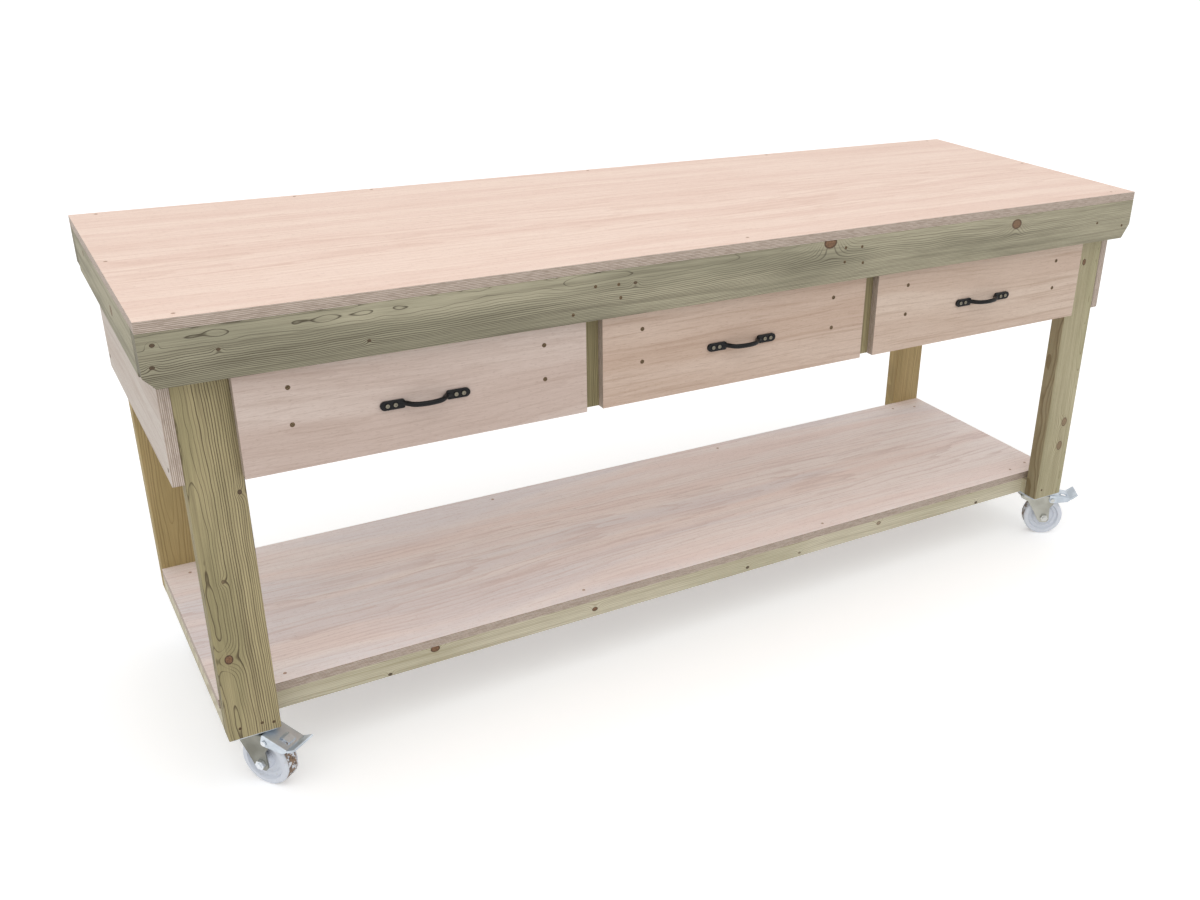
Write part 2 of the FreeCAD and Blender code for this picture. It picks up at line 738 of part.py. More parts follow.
def castor_plate(label, corner):
    """Top plate with its corner holes, ball race and swivel rivet."""
    body = new_body(label)
    half_wide = sizes.plate_width / 2
    half_deep = sizes.plate_length / 2
    plate = sketch_on(body, f"{label}_outline", "XY_Plane")
    add_outline(plate, rectangle(-half_wide, half_wide, -half_deep, half_deep))
    pad = extrude(body, "Pad", plate, sizes.plate_thickness, backwards=True)
    ease(body, pad, straight_edges(pad, along_z), sizes.plate_corner)
    race = sketch_on(body, f"{label}_race", "XY_Plane", -sizes.plate_thickness)
    add_circle(race, (zero, zero), sizes.race_radius)
    extrude(body, "Pad", race, sizes.race_drop, backwards=True)
    pin = sketch_on(body, f"{label}_pin", "XY_Plane", race_foot)
    add_circle(pin, (zero, zero), sizes.king_pin / 2)
    extrude(body, "Pad", pin, race_foot - pin_head_top, backwards=True)
    head = sketch_on(body, f"{label}_pin_head", "XY_Plane", pin_head_top)
    add_circle(head, (zero, zero), sizes.king_pin_head / 2)
    extrude(body, "Pad", head, sizes.king_pin_head_height, backwards=True)
    holes = sketch_on(body, f"{label}_holes", "XY_Plane")
    for x_way in (-1, 1):
        for y_way in (-1, 1):
            centre = (x_way * sizes.hole_pitch_wide / 2, y_way * sizes.hole_pitch_deep / 2)
            add_circle(holes, centre, sizes.plate_hole / 2)
    cut(body, holes, sizes.plate_thickness)
    place(body, corner)
    keep(body, label)


def castor_fork(label, corner, heading):
    """Pressed fork: round crown, two side plates and the pedal's rivet."""
    name = f"{label}_pressing"
    body = new_body(name)
    side = sketch_on(body, f"{name}_side", "XZ_Plane")
    outline = [
        (along * sizes.castor_trail, -down * axle_drop) for along, down in side_plate_shares
    ]
    add_outline(side, outline)
    block = extrude(body, "Pad", side, fork_outside, midplane=True)
    rounded = ease(
        body,
        block,
        straight_edges(block, along_y, lambda middle: middle.z < outline[2][1].value / 2),
        sizes.fork_corner,
    )
    top_edges = straight_edges(rounded, along_x, lambda middle: middle.z > crown_top.value * 2)
    ease(body, rounded, top_edges, sizes.fork_bend)
    inside = sketch_on(body, f"{name}_inside", "XZ_Plane")
    reach = sizes.pivot_trail + sizes.castor_trail
    add_outline(inside, rectangle(-reach, reach, -(axle_drop * 2), web_foot))
    cut(body, inside, sizes.fork_inside, midplane=True)
    crown = sketch_on(body, f"{name}_crown", "XY_Plane", crown_top)
    add_circle(crown, (zero, zero), sizes.crown_radius)
    extrude(body, "Pad", crown, crown_top - web_foot, backwards=True)
    pin_hole = sketch_on(body, f"{name}_pin_hole", "XY_Plane", crown_top)
    add_circle(pin_hole, (zero, zero), sizes.king_pin / 2 + sizes.pin_gap)
    cut(body, pin_hole, crown_top - web_foot)
    axle_hole = sketch_on(body, f"{name}_axle_hole", "XZ_Plane")
    add_circle(axle_hole, (sizes.castor_trail, -axle_drop), sizes.axle_diameter / 2 + sizes.axle_gap)
    cut(body, axle_hole, fork_outside + sizes.overrun, midplane=True)
    rivet = sketch_on(body, f"{name}_rivet", "XZ_Plane")
    add_circle(rivet, (sizes.pivot_trail, -sizes.pivot_drop), sizes.pivot_pin / 2)
    rivet_length = pedal_outside + 2 * (sizes.pedal_gap + sizes.pivot_head_height)
    extrude(body, "Pad", rivet, rivet_length, midplane=True)
    for way in (-1, 1):
        height = way * (pedal_outside / 2 + sizes.pedal_gap)
        head = sketch_on(body, f"{name}_rivet_head", "XZ_Plane", height)
        add_circle(head, (sizes.pivot_trail, -sizes.pivot_drop), sizes.pivot_head / 2)
        extrude(body, "Pad", head, sizes.pivot_head_height, backwards=way < 0)
    turn = FreeCAD.Rotation(along_z, heading.value)
    place(body, corner, turn)
    axle = castor_axle(f"{label}_axle")
    place(axle, corner, turn)
    group(label, [body, axle])


def add_hexagon(sketch, centre, across_flats):
    across, up = centre
    corner_radius = across_flats / 2 / math.cos(math.pi / hexagon_sides)
    corners = []
    for number in range(hexagon_sides):
        angle = 2 * math.pi * number / hexagon_sides
        corners.append(
            (across + corner_radius * math.cos(angle), up + corner_radius * math.sin(angle))
        )
    add_outline(sketch, corners)


def castor_axle(name):
    """Axle bolt through both side plates, with its hexagon head and nut."""
    body = new_body(name)
    centre = (sizes.castor_trail, -axle_drop)
    shank = sketch_on(body, f"{name}_shank", "XZ_Plane")
    add_circle(shank, centre, sizes.axle_diameter / 2)
    shank_length = fork_outside + 2 * (sizes.axle_head_height + sizes.axle_end)
    extrude(body, "Pad", shank, shank_length, midplane=True)
    for way in (-1, 1):
        head = sketch_on(body, f"{name}_head", "XZ_Plane", way * fork_outside / 2)
        add_hexagon(head, centre, sizes.axle_hex)
        extrude(body, "Pad", head, sizes.axle_head_height, backwards=way < 0)
    return body


def along_heading(corner, heading, trail, drop):
    """A point behind the swivel axis, in the direction that the castor trails."""
    x, y, z = corner
    return (x + trail * cosine(heading), y + trail * sine(heading), z - drop)


def castor_wheel(label, corner, heading):
    """Solid nylon wheel: rounded tread, rim, stepped web and hub."""
    body = new_body(label)
    radius = sizes.wheel_diameter / 2
    tread_half = sizes.wheel_width / 2
    hub_half = sizes.fork_inside / 2 - sizes.hub_side_gap
    bore = sizes.axle_diameter / 2 + sizes.axle_gap
    rim = radius - sizes.rim_depth
    web_half = tread_half - sizes.web_recess
    step_half = web_half - sizes.web_step
    half_section = (
        (bore, hub_half),
        (sizes.hub_radius, hub_half),
        (sizes.hub_radius + sizes.web_step, step_half),
        ((sizes.hub_radius + rim) / 2, step_half),
        ((sizes.hub_radius + rim) / 2 + sizes.web_step, web_half),
        (rim - sizes.web_recess / 2, web_half),
        (rim, tread_half),
        (radius, tread_half),
    )
    section = sketch_on(body, f"{label}_section", "XY_Plane")
    other_half = [(across, -out) for across, out in reversed(half_section)]
    add_outline(section, list(half_section) + other_half)
    spun = body.newObject("PartDesign::Revolution", f"{label}_spun")
    spun.Profile = section
    spun.ReferenceAxis = (section, ["V_Axis"])
    spun.Angle = full_turn
    document.recompute()
    tread_edges = [
        f"Edge{number}"
        for number, edge in enumerate(spun.Shape.Edges, start=1)
        if hasattr(edge.Curve, "Radius") and edge.Curve.Radius > (radius + rim).value / 2
    ]
    ease(body, spun, tread_edges, sizes.tread_edge)
    centre = along_heading(corner, heading, sizes.castor_trail, axle_drop)
    place(body, centre, FreeCAD.Rotation(along_z, heading.value))
    keep(body, label)


def castor_pedal(label, corner, heading, tilt):
    """Folded brake pedal: tread plate, flanges, lip, strap and brake shoe."""
    body = new_body(label)
    top = sizes.pedal_top
    flange = sketch_on(body, f"{label}_flange", "XZ_Plane")
    heel = -sizes.pedal_heel
    foot = [(along * sizes.pedal_reach, up * top) for along, up in flange_shares]
    add_outline(flange, [(heel, top)] + foot + [(sizes.pedal_reach, top)])
    block = extrude(body, "Pad", flange, pedal_outside, midplane=True)
    rounded = ease(
        body,
        block,
        straight_edges(block, along_y, lambda middle: middle.z < top.value / 2),
        sizes.pedal_corner,
    )
    top_edges = straight_edges(rounded, along_x, lambda middle: middle.z > top.value / 2)
    ease(body, rounded, top_edges, sizes.pedal_bend)
    inside = sketch_on(body, f"{label}_inside", "XZ_Plane")
    reach = sizes.pedal_reach + sizes.overrun
    add_outline(inside, rectangle(-reach, reach, -reach, top - sizes.pedal_wall))
    cut(body, inside, pedal_inside, midplane=True)
    window = sketch_on(body, f"{label}_window", "XY_Plane", top)
    strap_end = sizes.strap_start + sizes.strap_length
    half_window = sizes.strap_width / 2 + sizes.strap_slit
    window_start = sizes.strap_start + sizes.pedal_wall
    window_end = strap_end - sizes.pedal_wall
    add_outline(window, rectangle(window_start, window_end, -half_window, half_window))
    cut(body, window, sizes.pedal_wall)
    strap = sketch_on(body, f"{label}_strap", "XZ_Plane")
    under = top - sizes.pedal_wall
    ridge = sizes.strap_start + sizes.strap_ridge
    crest = top + sizes.strap_rise
    rear_crest = top + sizes.strap_far_rise
    add_outline(
        strap,
        (
            (sizes.strap_start, under),
            (window_start, under),
            (ridge, crest - sizes.pedal_wall),
            (window_end, rear_crest - sizes.pedal_wall),
            (window_end, under),
            (strap_end, under),
            (strap_end, top),
            (window_end + sizes.pedal_wall / 2, rear_crest),
            (ridge, crest),
            (sizes.strap_start, top),
        ),
    )
    extrude(body, "Pad", strap, sizes.strap_width, midplane=True)
    lip = sketch_on(body, f"{label}_lip", "XZ_Plane")
    lip_foot = sizes.pedal_reach
    tip = (lip_foot + sizes.lip_out, top + sizes.lip_up)
    add_outline(
        lip,
        (
            (lip_foot - sizes.lip_root, under),
            (lip_foot + sizes.pedal_wall / 2, under),
            (tip[0] + sizes.pedal_wall / 2, tip[1] - sizes.pedal_wall),
            (tip[0] - sizes.pedal_wall, tip[1]),
            (lip_foot - sizes.lip_root, top),
        ),
    )
    extrude(body, "Pad", lip, pedal_outside, midplane=True)
    shoe = sketch_on(body, f"{label}_shoe", "XZ_Plane")
    shoe_end = sizes.shoe_start + sizes.shoe_length
    add_outline(shoe, rectangle(sizes.shoe_start, shoe_end, top - sizes.shoe_depth, under))
    extrude(body, "Pad", shoe, sizes.shoe_width, midplane=True)
    # With the brake on, the shoe follows the tread: the wheel as the pedal sees it
    down = sizes.pedal_down_tilt
    back = sizes.castor_trail - sizes.pivot_trail
    drop = sizes.pivot_drop - axle_drop
    wheel_x = back * cosine(down) - drop * sine(down)
    wheel_z = back * sine(down) + drop * cosine(down)
    tread = sketch_on(body, f"{label}_tread", "XZ_Plane")
    add_circle(tread, (wheel_x, wheel_z), sizes.wheel_diameter / 2 + sizes.shoe_gap)
    cut(body, tread, sizes.shoe_width, midplane=True)
    eye = sketch_on(body, f"{label}_eye", "XZ_Plane")
    add_circle(eye, (zero, zero), sizes.pivot_pin / 2 + sizes.axle_gap)
    cut(body, eye, pedal_outside + sizes.overrun, midplane=True)
    turn = FreeCAD.Rotation(along_z, heading.value)
    leaning = turn.multiply(FreeCAD.Rotation(along_y, tilt.value))
    pivot = along_heading(corner, heading, sizes.pivot_trail, sizes.pivot_drop)
    place(body, pivot, leaning)
    keep(body, label)


def castor_screws(corner):
    """Pan heads under the plate, with the shanks that fill its holes."""
    heads = []
    for x_way in (-1, 1):
        for y_way in (-1, 1):
            body = new_body("castor_screw")
            centre = (zero, zero)
            shank = sketch_on(body, "castor_screw_shank", "XY_Plane")
            add_circle(shank, centre, sizes.screw_shank / 2)
            extrude(body, "Pad", shank, sizes.plate_thickness, backwards=True)
            head = sketch_on(body, "castor_screw_head", "XY_Plane", -sizes.plate_thickness)
            add_circle(head, centre, sizes.screw_head / 2)
            extrude(body, "Pad", head, sizes.screw_head_height, backwards=True)
            x = corner[0] + x_way * sizes.hole_pitch_wide / 2
            y = corner[1] + y_way * sizes.hole_pitch_deep / 2
            heads.append(place(body, (x, y, corner[2])))
    return heads


swivel_inset = sizes.castor_setback + sizes.plate_length / 2
swivel_left = left_end + swivel_in
swivel_right = right_end - swivel_in
swivel_front = front_leg_face + swivel_inset
swivel_back = back_leg_face - swivel_inset
brake_on = sizes.pedal_down_tilt
brake_off = sizes.pedal_up_tilt
castors = {
    "front_left": (swivel_left, swivel_front, sizes.front_left_heading, brake_on),
    "front_right": (swivel_right, swivel_front, sizes.front_right_heading, brake_off),
    "back_left": (swivel_left, swivel_back, sizes.back_left_heading, brake_off),
    "back_right": (swivel_right, swivel_back, sizes.back_right_heading, brake_on),
}
screws = []
for spot, (x, y, heading, tilt) in castors.items():
    corner = (x, y, leg_foot)
    castor_plate(f"castor_{spot}_plate", corner)
    castor_fork(f"castor_{spot}_fork", corner, heading)
    castor_wheel(f"castor_{spot}_wheel", corner, heading)
    castor_pedal(f"castor_{spot}_pedal", corner, heading, tilt)
    screws += castor_screws(corner)
group("castor_screws", screws)

document.recompute()
for thing in document.Objects:
    if "Invalid" in thing.State or "Error" in thing.State:
        raise ValueError(f"{thing.Label} failed: {thing.State}")
for thing in sub_parts:
    if thing.Shape.isNull() or not thing.Shape.isValid():
        raise ValueError(f"{thing.Label} has no valid shape")

os.makedirs("parts", exist_ok=True)
for thing in sub_parts:
    thing.Shape.exportStep(f"parts/{thing.Label}.step")
print(f"{len(sub_parts)} nodes, {sum(len(thing.Shape.Solids) for thing in sub_parts)} solids")
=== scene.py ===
import math
import random

import bpy
from mathutils import Matrix, Vector


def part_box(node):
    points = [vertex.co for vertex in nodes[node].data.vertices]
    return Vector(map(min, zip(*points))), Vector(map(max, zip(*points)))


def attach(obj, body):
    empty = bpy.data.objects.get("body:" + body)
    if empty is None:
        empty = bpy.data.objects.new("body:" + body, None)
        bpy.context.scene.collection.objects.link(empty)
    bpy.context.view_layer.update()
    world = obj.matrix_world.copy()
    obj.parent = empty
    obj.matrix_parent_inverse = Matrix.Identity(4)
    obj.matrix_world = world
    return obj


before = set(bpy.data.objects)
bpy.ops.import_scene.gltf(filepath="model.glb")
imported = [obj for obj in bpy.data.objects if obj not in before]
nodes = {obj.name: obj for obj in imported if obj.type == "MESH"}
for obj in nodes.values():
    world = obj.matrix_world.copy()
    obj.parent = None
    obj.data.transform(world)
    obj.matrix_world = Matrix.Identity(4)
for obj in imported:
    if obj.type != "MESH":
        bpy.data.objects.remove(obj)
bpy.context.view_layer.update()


# Worktop
# One sheet of 18 mm hardwood-faced plywood, laid on the rails and screwed down
# through its face. It is unfinished, pink and sanded, and its edges show the plies.


class Value:
    """A socket's number, so that node maths reads as plain arithmetic."""

    def __init__(self, finish, socket):
        self.finish = finish
        self.socket = socket

    def maths(self, operation, first, second):
        return self.finish.add("ShaderNodeMath", {"operation": operation}, {0: first, 1: second})

    def __add__(self, other):
        return self.maths("ADD", self, other)

    def __sub__(self, other):
        return self.maths("SUBTRACT", self, other)

    def __rsub__(self, other):
        return self.maths("SUBTRACT", other, self)

    def __mul__(self, other):
        return self.maths("MULTIPLY", self, other)

    def __truediv__(self, other):
        return self.maths("DIVIDE", self, other)

    def __pow__(self, other):
        return self.maths("POWER", self, other)

    def __rpow__(self, other):
        return self.maths("POWER", other, self)

    __radd__ = __add__
    __rmul__ = __mul__


class Finish:
    """One surface finish: a shader, and the nodes that feed it."""

    def __init__(self, name, **constants):
        self.material = bpy.data.materials.new(name)
        self.material.use_nodes = True
        self.nodes = self.material.node_tree.nodes
        self.links = self.material.node_tree.links
        self.surface = self.nodes["Principled BSDF"]
        for socket, value in constants.items():
            self.surface.inputs[socket.replace("_", " ")].default_value = value

    def add(self, kind, settings, sockets, output=0):
        """A node of this kind, set up and fed; one of its outputs as a Value."""
        node = self.nodes.new(kind)
        for name, value in settings.items():
            setattr(node, name, value)
        for name, value in sockets.items():
            self.join(node.inputs[name], value)
        return Value(self, node.outputs[output])

    def join(self, socket, value):
        """Links a Value to a socket, or sets the socket to a plain number or colour."""
        if isinstance(value, Value):
            self.links.new(value.socket, socket)
        else:
            socket.default_value = value

    def feed(self, **sockets):
        """Joins values to the shader's sockets, with _ for each space in a name."""
        for name, value in sockets.items():
            self.join(self.surface.inputs[name.replace("_", " ")], value)

    def place(self, order="XYZ"):
        """The three coordinates of the point on the piece, in metres."""
        point = self.add("ShaderNodeTexCoord", {}, {}, "Object")
        split = self.add("ShaderNodeSeparateXYZ", {}, {0: point}).socket.node
        return [Value(self, split.outputs[axis]) for axis in order]

    def facing(self, axis):
        """1 on faces square to this axis, 0 on faces along it."""
        normal = self.add("ShaderNodeTexCoord", {}, {}, "Normal")
        part = self.add("ShaderNodeSeparateXYZ", {}, {0: normal}, axis)
        return self.add("ShaderNodeMath", {"operation": "ABSOLUTE"}, {0: part})

    def noise(self, along, across, through, detail=2.0, rough=0.5):
        """Clouds from 0 to 1. A place in metres is multiplied by the clouds in a metre."""
        where = self.add("ShaderNodeCombineXYZ", {}, {0: along, 1: across, 2: through})
        settings = {"Vector": where, "Scale": 1.0, "Detail": detail, "Roughness": rough}
        return self.add("ShaderNodeTexNoise", {}, settings)

    def fade(self, value, low, high, first=0.0, last=1.0):
        """Goes smoothly from first to last while value goes from low to high."""
        span = {"Value": value, "From Min": low, "From Max": high, "To Min": first, "To Max": last}
        return self.add("ShaderNodeMapRange", {"interpolation_type": "SMOOTHSTEP"}, span)

    def whole(self, value):
        """The whole number at or below the value."""
        return self.add("ShaderNodeMath", {"operation": "FLOOR"}, {0: value})

    def larger(self, first, second):
        """The larger of two values."""
        return self.add("ShaderNodeMath", {"operation": "MAXIMUM"}, {0: first, 1: second})

    def blend(self, share, first, second):
        """A colour between two colours, all first at a share of 0 and all second at 1."""
        colours = {0: share, 6: first, 7: second}
        return self.add("ShaderNodeMix", {"data_type": "RGBA"}, colours, 2)

    def relief(self, height, depth):
        """The Normal of a surface that a height from 0 to 1 raises by depth, in metres."""
        sockets = {"Strength": 1.0, "Distance": depth, "Height": height}
        return self.add("ShaderNodeBump", {}, sockets)


def paint(red, green, blue):
    """A colour as a paint chart gives it, from 0 to 255, made linear for a shader.

    The numbers in it are those of the sRGB curve."""
    shares = [part / 255 for part in (red, green, blue)]
    linear = [s / 12.92 if s < 0.04045 else ((s + 0.055) / 1.055) ** 2.4 for s in shares]
    return (*linear, 1.0)


def plywood(name, order, pale, rosy, streaks, seed, figure=0.35, grey=None, heart=None):
    """Hardwood plywood. order is grain, across, thickness; the plies show on the edges.

    pale and rosy run into each other, and streaks is the colour of the darker marks.
    seed picks the sheet, figure is how strongly its lines show, and grey is the colour
    of long cool patches. heart is the middle of an arched figure, and its strength."""
    finish = Finish(name)
    along, across, through = finish.place(order)
    # How many of each lie in a metre across the grain
    bands, lines, dashes, fibres, pores = 16.0, 130.0, 420.0, 900.0, 1300.0
    drift = finish.noise(along * 1.1, (across + seed) * 3.0, seed, 2.0)
    line_place = across + seed + drift * 0.06
    band = finish.noise(along * 0.9, (across + seed + drift * 0.12) * bands, seed, 4.0, 0.55)
    line = finish.noise(along * 3.0, line_place * lines, seed, 3.0, 0.6)
    fibre = finish.noise(along * 40.0, (across + seed) * fibres, seed, 2.0, 0.6)
    pore = finish.fade(finish.noise(along * 90.0, across * pores, seed, 1.0), 0.64, 0.72)
    dash = finish.noise(along * 13.0, (across + seed) * dashes, seed + 1.0, 2.0)
    face = finish.blend(finish.fade(band, 0.38, 0.62), pale, rosy)
    if grey:
        patch_place = (across + seed + drift * 0.2) * 7.0
        patch = finish.noise(along * 0.7, patch_place, seed + 5.0, 3.0)
        face = finish.blend(finish.fade(patch, 0.47, 0.62, 0.0, 0.55), face, grey)
    face = finish.blend(finish.fade(line, 0.5, 0.68, 0.0, figure), face, streaks)
    if heart:
        # Arches lie one inside the other where the knife cut the log's growth flat
        middle, strength = heart
        ripple = finish.noise(along * 6.0, across * 22.0, seed + 2.0, 2.0)
        off = across - middle + (drift - 0.5) * 0.10
        uneven = finish.noise(off * 34.0, along * 0.8, seed + 4.0, 2.0)
        arch = off * off * 300.0 + along * 2.6 + ripple * 1.3 + uneven * 3.4
        step = arch - finish.whole(arch)
        crest = finish.fade(step, 0.6, 0.95) * finish.fade(step, 1.0, 0.96)
        near = finish.fade(off * off, 0.05, 0.01)
        face = finish.blend(crest * near * strength, face, streaks)
    face = finish.blend(finish.fade(dash, 0.54, 0.72, 0.0, 0.4), face, streaks)
    face = finish.blend(finish.fade(fibre, 0.35, 0.65, 0.0, 0.22), face, streaks)
    face = finish.blend(pore * 0.4, face, paint(126, 88, 68))
    # Every other ply is end grain, and a thin glue line lies under each
    sheet_thickness = 0.018
    ply_count = 13
    ply = through * (ply_count / sheet_thickness) + seed * 10.0
    number = finish.whole(ply)
    end_grain = finish.add("ShaderNodeMath", {"operation": "PINGPONG"}, {0: number, 1: 1.0})
    shade = finish.noise(number * 3.7, seed, 0.5, 0.0)
    mottle = finish.noise(along * 60.0, across * 60.0, number * 2.3, 3.0)
    layer = finish.blend(end_grain, paint(208, 194, 182), paint(152, 134, 120))
    layer = finish.blend(finish.fade(shade, 0.35, 0.65, 0.0, 0.45), layer, paint(182, 164, 150))
    layer = finish.blend(finish.fade(mottle, 0.4, 0.7, 0.0, 0.45), layer, paint(132, 114, 98))
    glue = finish.fade(ply - number, 0.16, 0.0)
    layer = finish.blend(glue * 0.6, layer, paint(98, 80, 66))
    on_face = finish.fade(finish.facing(order[2]), 0.5, 0.6)
    finish.feed(
        Base_Color=finish.blend(on_face, layer, face),
        Roughness=finish.fade(line, 0.35, 0.7, 0.62, 0.74),
        Normal=finish.relief(fibre * 0.5 + line * 0.5, 0.00025),
    )
    return finish


def coat(piece, finish):
    """Gives a piece this finish in place of any other."""
    piece.data.materials.clear()
    piece.data.materials.append(finish.material)


def dress(finish, *names):
    """Gives CAD nodes their finish."""
    for name in names:
        coat(nodes[name], finish)


top_veneer = plywood(
    "top_veneer", "XYZ", paint(240, 217, 202), paint(232, 205, 190), paint(208, 172, 154),
    seed=0.0, figure=0.24, heart=(-0.06, 0.3),
)
dress(top_veneer, "worktop")

# The bench's marks are placed from the worktop's left end, its front and its top
top_low, top_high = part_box("worktop")


def spot(from_left, from_front, from_top):
    """A place measured in millimetres from the left end, the front and the top."""
    return Vector((
        top_low.x + from_left / 1000,
        top_low.y + from_front / 1000,
        top_high.z - from_top / 1000,
    ))


screw_steel = Finish("dull_screw_steel", Metallic=0.85)
x, y, z = screw_steel.place()
tarnish = screw_steel.noise(x * 900.0, y * 900.0, z * 900.0, 3.0)
tarnished = screw_steel.fade(tarnish, 0.35, 0.65)
screw_steel.feed(
    Base_Color=screw_steel.blend(tarnished, paint(122, 104, 80), paint(70, 60, 48)),
    Roughness=screw_steel.fade(tarnish, 0.3, 0.7, 0.4, 0.6),
    Normal=screw_steel.relief(tarnish, 0.00003),
)
# Torn fibres round each screw, darkened further as painted shade for the hollow of the countersink
torn_wood_and_shade = Finish("torn_wood_and_shade")
x, y, z = torn_wood_and_shade.place()
splinter = torn_wood_and_shade.noise(x * 1600.0, y * 1600.0, z * 1600.0, 3.0)
raised = torn_wood_and_shade.fade(splinter, 0.35, 0.65)
torn_wood_and_shade.feed(
    Base_Color=torn_wood_and_shade.blend(raised, paint(92, 70, 48), paint(128, 102, 76)),
    Roughness=torn_wood_and_shade.fade(splinter, 0.3, 0.7, 0.8, 0.95),
    Normal=torn_wood_and_shade.relief(splinter, 0.0003),
)


def add_cross_recess(item, length, depth, top):
    """Cuts a cross for the driver into a screw head, down from its top."""
    arm = length / 4
    for across, along in ((length, arm), (arm, length)):
        bpy.ops.object.select_all(action="DESELECT")
        bpy.ops.mesh.primitive_cube_add(size=1.0, location=(0.0, 0.0, top))
        cutter = bpy.context.object
        cutter.scale = (across, along, depth * 2)
        bpy.ops.object.transform_apply(location=False, rotation=False, scale=True)
        bpy.context.view_layer.objects.active = item
        cutting = item.modifiers.new("recess", "BOOLEAN")
        cutting.operation = "DIFFERENCE"
        cutting.solver = "EXACT"
        cutting.object = cutter
        bpy.ops.object.modifier_apply(modifier=cutting.name)
        bpy.data.objects.remove(cutter)


def screw_head(name, radius, height, crown, recess, metal):
    """The head of a screw, standing on the origin.

    crown is how far its edges are rounded over, and recess the cross's length."""
    bpy.ops.object.select_all(action="DESELECT")
    bpy.ops.mesh.primitive_cylinder_add(
        vertices=32, radius=radius, depth=height, location=(0.0, 0.0, height / 2)
    )
    item = bpy.context.object
    item.name = name
    bpy.ops.object.transform_apply(location=True, rotation=False, scale=False)
    bpy.ops.object.mode_set(mode="EDIT")
    bpy.ops.mesh.select_all(action="SELECT")
    bpy.ops.mesh.bevel(offset=crown, segments=4)
    bpy.ops.object.mode_set(mode="OBJECT")
    add_cross_recess(item, recess, height * 0.7, height)
    item.data.materials.append(metal.material)
    return item


# A countersunk screw: its flat head, and round it a dark ring for the torn rim of the hole it was
# driven into, partly torn fibres and partly painted shade in the countersink
sunk_radius = 0.0032
wood_screw = screw_head(
    "wood_screw", radius=sunk_radius, height=0.0004, crown=0.0001, recess=0.0038, metal=screw_steel
)
rim_radius = sunk_radius + 0.0004
rim_half_width = 0.0006
rim_flattening = 0.6
bpy.ops.object.select_all(action="DESELECT")
bpy.ops.mesh.primitive_torus_add(
    major_segments=32, minor_segments=8, major_radius=rim_radius, minor_radius=rim_half_width
)
rim = bpy.context.object
rim.scale = (1.0, 1.0, rim_flattening)
bpy.ops.object.transform_apply(location=False, rotation=False, scale=True)
rim.data.materials.append(torn_wood_and_shade.material)
wood_screw.select_set(True)
bpy.context.view_layer.objects.active = wood_screw
bpy.ops.object.join()
wood_screw = bpy.context.object
facings = {
    "up": Matrix.Identity(4),
    "front": Matrix.Rotation(math.radians(90.0), 4, "X"),
    "back": Matrix.Rotation(math.radians(-90.0), 4, "X"),
    "left": Matrix.Rotation(math.radians(-90.0), 4, "Y"),
    "right": Matrix.Rotation(math.radians(90.0), 4, "Y"),
}
chance = random.Random(7)


def drive(name, pattern, places, body, size=1.0):
    """Copies of a screw head, each a chance turn round its axis, joined as one piece.

    places are (point, which way the head faces), and size is how large the copies are."""
    copies = []
    for point, way in places:
        copy = pattern.copy()
        copy.data = pattern.data.copy()
        bpy.context.scene.collection.objects.link(copy)
        turn = Matrix.Rotation(chance.uniform(0.0, math.pi), 4, "Z")
        copy.matrix_world = Matrix.Translation(point) @ facings[way] @ turn @ Matrix.Scale(size, 4)
        copies.append(copy)
    bpy.ops.object.select_all(action="DESELECT")
    for copy in copies:
        copy.select_set(True)
    bpy.context.view_layer.objects.active = copies[0]
    bpy.ops.object.join()
    piece = bpy.context.object
    piece.name = name
    bpy.ops.object.transform_apply(location=True, rotation=True, scale=True)
    bpy.ops.object.mode_set(mode="EDIT")
    bpy.ops.mesh.select_all(action="SELECT")
    bpy.ops.mesh.normals_make_consistent(inside=False)
    bpy.ops.object.mode_set(mode="OBJECT")
    bpy.ops.object.shade_smooth_by_angle(angle=math.radians(35.0))
    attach(piece, body)
    return piece


worktop_marks = (
    (45, 678), (408, 680), (565, 680), (1065, 680), (1560, 680), (2085, 678),
    (14, 342), (59, 19), (1076, 30), (2074, 22), (2116, 350),
)
worktop_screws = drive(
    "worktop_screws", wood_screw,
    [(spot(left, front, 0), "up") for left, front in worktop_marks],
    "bench", size=0.8,
)
# These are filled with sanding dust, so that they hardly show
dusty = Finish("dusty_screws")
x, y, z = dusty.place()
dust = dusty.noise(x * 1400.0, y * 1400.0, z * 1400.0, 3.0)
packed = dusty.fade(dust, 0.35, 0.65)
dusty.feed(
    Base_Color=dusty.blend(packed, paint(206, 176, 158), paint(160, 132, 114)),
    Roughness=dusty.fade(dust, 0.3, 0.7, 0.75, 0.9),
)
coat(worktop_screws, dusty)


# Top rails
# Planed, pressure-treated softwood, 38 x 89 mm. The two long rails stand on edge
# with their lower corners cut off, and two trimmed rails close the ends.


